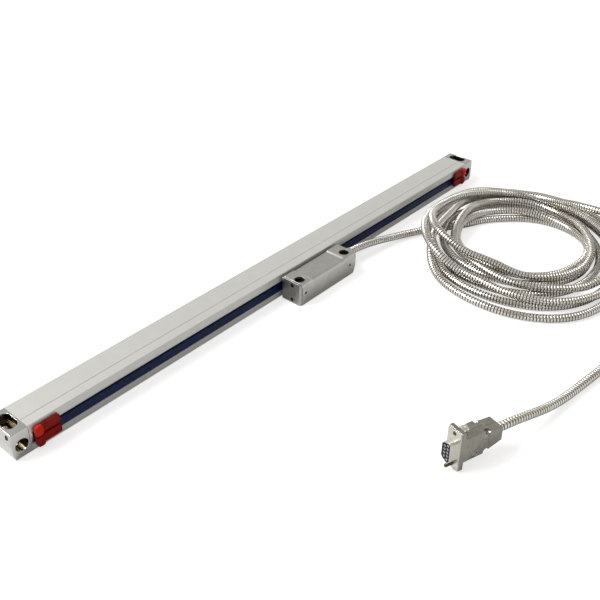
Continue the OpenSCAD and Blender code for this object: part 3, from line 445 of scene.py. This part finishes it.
def jackscrew(node, side, tip):
    """A turned screw along the plug's axis: a knurled head in two collars with a slot across
    its end, a plain shank, and a thread. The thread's radius is a wave of its way along less
    its turn. The attribute "thread" is 1 on the threaded end."""
    turn = 2 * math.pi * np.arange(JACK_SIDES) / JACK_SIDES
    plain = np.ones(JACK_SIDES)
    knurl = HEAD_R - 0.14 * np.abs(np.cos(turn * 8))
    across = plain * np.linspace(0.45, HEAD_R - 0.6, 4)[:, None]
    rows = [(HEAD_BACK + np.where(np.abs(r * np.sin(turn)) < 0.55, 1.0, 0.0), r) for r in across]
    rows += [(HEAD_BACK, plain * (HEAD_R - 0.45)), (HEAD_BACK + 0.35, knurl), (-8.5, knurl),
             (-8.3, plain * WAIST_R), (-7.7, plain * WAIST_R), (-7.5, knurl),
             (HEAD_FRONT - 0.4, knurl), (HEAD_FRONT - 0.1, plain * (HEAD_R - 0.3)),
             (HEAD_FRONT, plain * (HEAD_R - 0.3)), (HEAD_FRONT, plain * SHANK_R),
             (THREAD_START - 0.3, plain * SHANK_R)]
    for at in np.arange(THREAD_START, tip - 0.3, PITCH_OF_THREAD / 6):
        wave = np.abs(((at / PITCH_OF_THREAD - turn / (2 * math.pi)) % 1) * 2 - 1)
        rows.append((at, SHANK_R - THREAD_DEPTH * wave))
    rows += [(tip - 0.05, plain * (SHANK_R - 0.3)), (tip, plain * (SHANK_R - 0.6))]
    rings = np.stack([np.stack([at * plain, r * np.sin(turn),
                                r * np.cos(turn) + side * JACK_OFFSET], -1) for at, r in rows])
    place = from_plug(rings.reshape(-1, 3)).reshape(rings.shape)
    made = tube_mesh(node + "_piece", place * MM, 38)
    mark_points(made, "thread", rings[..., 0].ravel() > THREAD_START - 0.1)
    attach(made, node)
    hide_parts(node)
    return made


pieces = {"left_lip_clip": lip_clip("left_lip_clip", -1),
          "right_lip_clip": lip_clip("right_lip_clip", 1),
          "upper_jackscrew": jackscrew("upper_jackscrew", 1, 0.4),
          "lower_jackscrew": jackscrew("lower_jackscrew", -1, 5.2)}
# The width of the rounding in mm, and the angle in degrees from which an edge is rounded.
BODY_EASE = {"left_end_block": (0.25, 32), "right_end_block": (0.25, 32),
             "head_body": (0.2, 19), "head_end_plate": (0.2, 25), "hood_near_half": (0.4, 25),
             "hood_far_half": (0.4, 25), "plug_shell": (0.12, 32), "cable_gland": (0.3, 32),
             "hood_screws": (0.3, 32)}
SLOT_OF = {s["node"]: s["material_slot"] for s in frame["record"]["subparts"]}
for part, (width, corner) in BODY_EASE.items():
    pieces[part] = eased(part, width, corner)


# ------------------------------------------------------------------ finishes
SEEN_BY = ("Is Camera Ray", "Is Glossy Ray", "Is Transmission Ray")


class Wire:
    """A value that runs between shader nodes; sums and products of it add Math nodes."""

    def __init__(self, board, socket):
        self.board, self.socket = board, socket

    def math(self, operation, *others):
        """What a Math node makes of this value and the others."""
        return self.board.node("ShaderNodeMath", {"operation": operation},
                               dict(enumerate((self,) + others)))

    def __add__(self, other):
        return self.math("ADD", other)

    def __sub__(self, other):
        return self.math("SUBTRACT", other)

    def __mul__(self, other):
        return self.math("MULTIPLY", other)

    def __rsub__(self, other):
        return self.board.node("ShaderNodeMath", {"operation": "SUBTRACT"}, {0: other, 1: self})

    __radd__, __rmul__ = __add__, __mul__

    def step(self, low, high):
        """0 below low, 1 above high, smooth between."""
        return self.board.node("ShaderNodeMapRange", {"interpolation_type": "SMOOTHSTEP"},
                               {"Value": self, "From Min": low, "From Max": high})


class Board:
    """A node tree under construction, whose nodes are added one call at a time."""

    def __init__(self, tree):
        self.tree, self.end = tree, None
        tree.nodes.clear()

    def node(self, kind, settings, sockets, out=0):
        """A node with its settings, then its sockets' values or links; the wire leaves by out."""
        made = self.tree.nodes.new(kind)
        for name, value in settings.items():
            setattr(made, name, value)
        for socket, value in sockets.items():
            if isinstance(value, Wire):
                self.tree.links.new(value.socket, made.inputs[socket])
            else:
                made.inputs[socket].default_value = value
        return Wire(self, made.outputs[out])

    def finish_at(self, kind, wire):
        """Sends the wire to the tree's output node, which is made when it is first asked for."""
        self.end = self.end or self.tree.nodes.new(kind)
        self.tree.links.new(wire.socket, self.end.inputs[0])

    def mix(self, share, first, second):
        """Colours first and second, mixed by share. A Mix node keeps its colours in sockets 6
        and 7 and gives the mixed one by its third output."""
        first, second = (v if isinstance(v, Wire) else (*v, 1) for v in (first, second))
        return self.node("ShaderNodeMix", {"data_type": "RGBA"},
                         {0: share, 6: first, 7: second}, out=2)

    def attribute(self, name):
        """The value that mark_points stored under a name."""
        return self.node("ShaderNodeAttribute", {"attribute_name": name}, {}, "Fac")

    def ray_kinds(self):
        """1 for camera rays and 1 for the rays that metal and glass send out, as two values."""
        camera, glossy, through = (self.node("ShaderNodeLightPath", {}, {}, kind)
                                   for kind in SEEN_BY)
        return camera, glossy.math("MAXIMUM", through)


class Paint(Board):
    """A surface's material: one Principled shader, whose fixed sockets are given by name."""

    def __init__(self, name, **fixed):
        self.material = bpy.data.materials.new(name)
        self.material.use_nodes = True
        super().__init__(self.material.node_tree)
        self.surface = self.node("ShaderNodeBsdfPrincipled", {}, {
            socket.replace("_", " "): value for socket, value in fixed.items()})
        self.shader = self.surface.socket.node
        self.finish_at("ShaderNodeOutputMaterial", self.surface)
        self.place = self.node("ShaderNodeTexCoord", {}, {}, "Object")

    def noise(self, size, stretch=(1, 1, 1), detail=2.0, rough=0.5):
        """Noise with grains about size mm across, drawn out by stretch along x, y and z."""
        scale = tuple(1 / (size * MM * s) for s in stretch)
        at = self.node("ShaderNodeMapping", {}, {"Vector": self.place, "Scale": scale})
        return self.node("ShaderNodeTexNoise", {}, {"Vector": at, "Scale": 1.0, "Detail": detail,
                                                    "Roughness": rough})

    def depth_inside(self, low, high):
        """How far a place lies inside a box given in mm; below 0 outside of it."""
        x, y, z = (self.axis(i) for i in range(3))
        near = [x - low[0], high[0] - x, y - low[1], high[1] - y, z - low[2], high[2] - z]
        deep = near[0]
        for other in near[1:]:
            deep = deep.math("MINIMUM", other)
        return deep

    def axis(self, which):
        """One of the place's coordinates, in mm."""
        return self.node("ShaderNodeSeparateXYZ", {}, {0: self.place}, which) * (1 / MM)

    def set(self, **feeds):
        """Wires that feed the shader's sockets, by name."""
        for socket, value in feeds.items():
            self.tree.links.new(value.socket, self.shader.inputs[socket.replace("_", " ")])
        return self

    def bump(self, height, rise):
        """Small relief: rise is the height in mm that the value 1 stands for."""
        return self.set(Normal=self.node("ShaderNodeBump", {}, {
            "Height": height, "Distance": rise * MM, "Strength": 1.0}))


# Dark brown painted shade for the deep inside of bores and cavities.
BORE_PAINTED_SHADE = (0.17, 0.135, 0.085)


def satin_metal(name, colour, dark, roughness, spread, grain, stretch, relief, metallic=1.0,
                bored=None):
    """Metal with a fine grain: colour and roughness drift between two values along the grain,
    and the grain stands up a little. bored is a box in mm and a depth: what lies deeper than
    that inside the box is the wall of a bore, which gets a dark brown painted shade."""
    p = Paint(name, Metallic=metallic)
    cloud = p.noise(9.0, detail=3.0)
    fine = p.noise(grain, stretch, detail=3.0, rough=0.6)
    share = (cloud * 0.5 + fine * 0.5).step(0.3, 0.7)
    shade = p.mix(share, dark, colour)
    if bored:
        low, high, depth = bored
        # painted shade: the deep inside of the bore is darkened to a dark brown
        deep = p.depth_inside(low, high).step(depth, depth * 1.5)
        shade = p.mix(deep, shade, BORE_PAINTED_SHADE)
    p.set(Base_Color=shade, Roughness=fine * spread + (roughness - spread / 2))
    return p.bump(fine, relief)


def plain_plastic(name, colour, dark, roughness, shine=0.5):
    """Moulded plastic or rubber: faint clouds of colour and a fine matt grain."""
    p = Paint(name, Specular_IOR_Level=shine)
    cloud = p.noise(4.0, detail=3.0)
    fine = p.noise(0.6)
    p.set(Base_Color=p.mix(cloud.step(0.3, 0.7), dark, colour),
          Roughness=fine * 0.16 + (roughness - 0.08))
    return p.bump(fine, 0.01)


def clip_finish():
    """Deep red plastic, with painted light that makes the upper lug brighter."""
    p = Paint("red_clip_plastic", Specular_IOR_Level=0.12)
    fine = p.noise(0.9)
    deep = p.mix(p.noise(4.0).step(0.3, 0.7), (0.22, 0.006, 0.005), (0.34, 0.009, 0.006))
    # painted light: the upper lug is painted a much brighter red, as if lit from above
    p.set(Base_Color=p.mix(p.attribute("lug"), deep, (0.72, 0.022, 0.010)),
          Roughness=fine * 0.12 + 0.26)
    return p.bump(fine, 0.006)


def thread_finish():
    """A jackscrew's plating, with a dull dark thread."""
    p = Paint("jackscrew_steel", Metallic=1.0)
    fine = p.noise(0.6, detail=3.0)
    bright = p.mix(fine.step(0.3, 0.7), (0.80, 0.78, 0.72), (0.93, 0.92, 0.88))
    p.set(Base_Color=p.mix(p.attribute("thread"), bright, (0.13, 0.12, 0.07)),
          Roughness=fine * 0.12 + 0.24)
    return p.bump(fine, 0.004)


def cable_finish():
    """Bright wound strip with warm patches where it has been handled. The grooves get a dark
    painted shade."""
    p = Paint("wound_strip", Metallic=1.0)
    groove = p.attribute("groove")
    patch = p.noise(22.0)
    speck = p.noise(1.1)
    bright = p.mix(patch.step(0.35, 0.65), (0.82, 0.78, 0.71), (0.95, 0.93, 0.89))
    # painted shade: the base colour goes near-black down in the grooves
    return p.set(Base_Color=p.mix(groove.step(0.04, 0.6), bright, (0.13, 0.112, 0.09)),
                 Roughness=speck * 0.16 + groove * 0.2 + 0.18)


def glass_finish():
    """Clear glass with a fine chromium grating of lines along the middle of its width."""
    p = Paint("scale_glass", Metallic=0.0, Roughness=0.05, IOR=1.5, Transmission_Weight=0.6)
    pitch, middle, half_width = 0.4, 16.5, 2.5
    lines = (p.axis(0) * (2 * math.pi / pitch)).math("SINE").step(-0.1, 0.1)
    band = p.axis(1).math("COMPARE", middle, half_width)
    return p.set(Base_Color=p.mix(lines * band, (0.80, 0.90, 0.88), (0.35, 0.38, 0.40)))


FINISH = {
    "anodised": satin_metal("satin_anodising", (0.80, 0.80, 0.76), (0.76, 0.76, 0.72), 0.36, 0.10,
                            0.5, (40, 1, 1), 0.004, 0.6),
    "glass": glass_finish(),
    "bond": plain_plastic("grey_bond", (0.16, 0.16, 0.17), (0.10, 0.10, 0.11), 0.7),
    "lips": plain_plastic("navy_lip_rubber", (0.010, 0.024, 0.10), (0.006, 0.015, 0.06), 0.42,
                          0.25),
    # plated: painted shade darkens the deep inside of the end blocks' bores and pockets
    "plated": satin_metal("nickel_plate", (0.76, 0.76, 0.74), (0.68, 0.68, 0.66), 0.24, 0.10,
                          0.7, (1, 1, 1), 0.004,
                          bored=((-285, -2.5, 0), (285, 25.5, 22.5), 0.9)),
    "gasket": plain_plastic("black_gasket", (0.03, 0.03, 0.03), (0.015, 0.015, 0.015), 0.7),
    "screws": satin_metal("screw_steel", (0.55, 0.54, 0.52), (0.40, 0.39, 0.38), 0.32, 0.12,
                          0.4, (1, 1, 1), 0.004),
    "clips": clip_finish(),
    # head: painted shade darkens the deep inside of the head's cavity
    "head": satin_metal("satin_nickel_cast", (0.70, 0.70, 0.66), (0.60, 0.60, 0.57), 0.30, 0.12,
                        0.6, (1, 1, 1), 0.006,
                        bored=((-24, -25.5, 0), (50, -4.5, 21), 1.7)),
    "end_plate": satin_metal("plate_nickel", (0.55, 0.55, 0.53), (0.45, 0.45, 0.43), 0.36, 0.12,
                             0.6, (1, 1, 1), 0.008),
    "boards": plain_plastic("board_lacquer", (0.02, 0.16, 0.06), (0.01, 0.10, 0.04), 0.35),
    "spring_steel": satin_metal("spring_steel", (0.6, 0.6, 0.6), (0.5, 0.5, 0.5), 0.25, 0.1,
                                0.3, (1, 12, 1), 0.002),
    "carriage": satin_metal("black_anodising", (0.06, 0.06, 0.065), (0.03, 0.03, 0.035), 0.4, 0.1,
                            0.5, (6, 1, 1), 0.004, 0.6),
    "bearings": satin_metal("ground_steel", (0.66, 0.66, 0.66), (0.55, 0.55, 0.56), 0.2, 0.1,
                            0.3, (1, 1, 1), 0.002),
    "lamp": plain_plastic("clear_lamp", (0.85, 0.78, 0.5), (0.75, 0.68, 0.4), 0.15),
    "ribbon": plain_plastic("amber_ribbon", (0.55, 0.25, 0.03), (0.42, 0.18, 0.02), 0.4),
    "gland": satin_metal("gland_plate", (0.78, 0.77, 0.74), (0.62, 0.61, 0.58), 0.22, 0.1,
                         0.5, (1, 1, 1), 0.004),
    "cable": cable_finish(),
    "plug_metal": satin_metal("tinned_steel", (0.90, 0.89, 0.83), (0.80, 0.78, 0.71), 0.30, 0.12,
                              0.8, (1, 1, 1), 0.004),
    "insert": plain_plastic("navy_insert", (0.010, 0.014, 0.045), (0.005, 0.008, 0.024), 0.42,
                            0.25),
    "contacts": satin_metal("contact_plate", (0.96, 0.93, 0.82), (0.90, 0.86, 0.74), 0.35, 0.1,
                            0.3, (1, 1, 1), 0.002, 0.45),
    "hood": satin_metal("cast_zinc", (0.47, 0.45, 0.40), (0.36, 0.34, 0.30), 0.26, 0.14,
                        1.6, (1, 1, 7), 0.010),
}
BLACK_OXIDE = satin_metal("black_oxide", (0.05, 0.05, 0.05), (0.03, 0.03, 0.03), 0.4, 0.1, 0.4,
                          (1, 1, 1), 0.004)
PALE_GASKET = plain_plastic("pale_gasket", (0.50, 0.50, 0.48), (0.40, 0.40, 0.38), 0.7)
JACKSCREW = thread_finish()
PIECE_FINISH = {"head_grub_screws": BLACK_OXIDE, "left_end_screws": BLACK_OXIDE,
                "right_end_screws": BLACK_OXIDE, "end_plate_screws": BLACK_OXIDE,
                "left_end_gasket": PALE_GASKET, "right_end_gasket": PALE_GASKET,
                "upper_jackscrew": JACKSCREW, "lower_jackscrew": JACKSCREW}
for node, shown in frame["nodes"].items():
    paint = PIECE_FINISH.get(node, FINISH[SLOT_OF[node]]).material
    target = pieces.get(node, shown)
    target.data.materials.clear()
    target.data.materials.append(paint)
cable.data.materials.append(FINISH["cable"].material)


# ------------------------------------------------------------------ floor and light
# The sky's strength: what lights the object from all round, what metal and glass see
# overhead, and by how much the side behind the eye is darker to them.
SOFT_LIGHT, OVERHEAD, ROOM_SHADE = 0.42, 0.47, 0.2


def white_ground():
    """A wide floor that takes the shadow. It is white to the camera, to mirrors and to glass,
    and a paler grey to the light that it throws back at the object."""
    corners = np.array([[-4, -4, -0.0002], [4, -4, -0.0002], [4, 4, -0.0002], [-4, 4, -0.0002]])
    floor = link_mesh("floor", corners, [[0, 1, 2, 3]], 40)
    p = Paint("floor_white", Roughness=0.9, Specular_IOR_Level=0.2)
    floor.data.materials.append(p.material)
    camera, mirror = p.ray_kinds()
    p.set(Base_Color=p.mix(camera.math("MAXIMUM", mirror), (0.50, 0.50, 0.50), (0.70, 0.70, 0.70)))
    glow = p.node("ShaderNodeEmission", {}, {"Color": (1, 1, 1, 1), "Strength": camera * 0.62})
    p.finish_at("ShaderNodeOutputMaterial",
                p.node("ShaderNodeAddShader", {}, {0: p.surface, 1: glow}))


def sky():
    """Soft grey light all round. The camera sees plain white. Metal and glass see a backdrop
    that is white near the ground and fades to a grey overhead."""
    world = bpy.data.worlds.new("studio")
    bpy.context.scene.world = world
    world.use_nodes = True
    p = Board(world.node_tree)
    camera, mirror = p.ray_kinds()
    way = p.node("ShaderNodeTexCoord", {}, {}, "Generated")
    x, y, height = (p.node("ShaderNodeSeparateXYZ", {}, {0: way}, i) for i in range(3))
    room = (x * -0.76 + y * -0.65).step(0.2, 0.7) * height.step(0.1, 0.3)
    backdrop = 1 - height.step(0.1, 0.42) * (1 - OVERHEAD) - room * ROOM_SHADE
    indirect = mirror * backdrop + (1 - mirror) * SOFT_LIGHT
    p.finish_at("ShaderNodeOutputWorld", p.node("ShaderNodeBackground", {}, {
        "Color": p.mix(camera, (1.0, 0.99, 0.965), (1.0, 1.0, 1.0)),
        "Strength": camera + (1 - camera) * indirect}))


def soft_box(name, place, size, watts):
    """A square area light at place, in metres, that faces the origin."""
    light = bpy.data.lights.new(name, "AREA")
    light.size = size
    light.energy = watts
    back = np.array(place) / np.linalg.norm(place)
    right = np.cross([0.0, 0.0, 1.0], back)
    right /= np.linalg.norm(right)
    turned = Matrix(np.column_stack([right, np.cross(back, right), back]).tolist()).to_4x4()
    box = bpy.data.objects.new(name, light)
    box.matrix_world = Matrix.Translation(place) @ turned
    bpy.context.scene.collection.objects.link(box)


white_ground()
sky()
soft_box("key", (-0.95, 1.0, 1.4), 1.2, 38)

bpy.context.scene.view_settings.view_transform = "Standard"
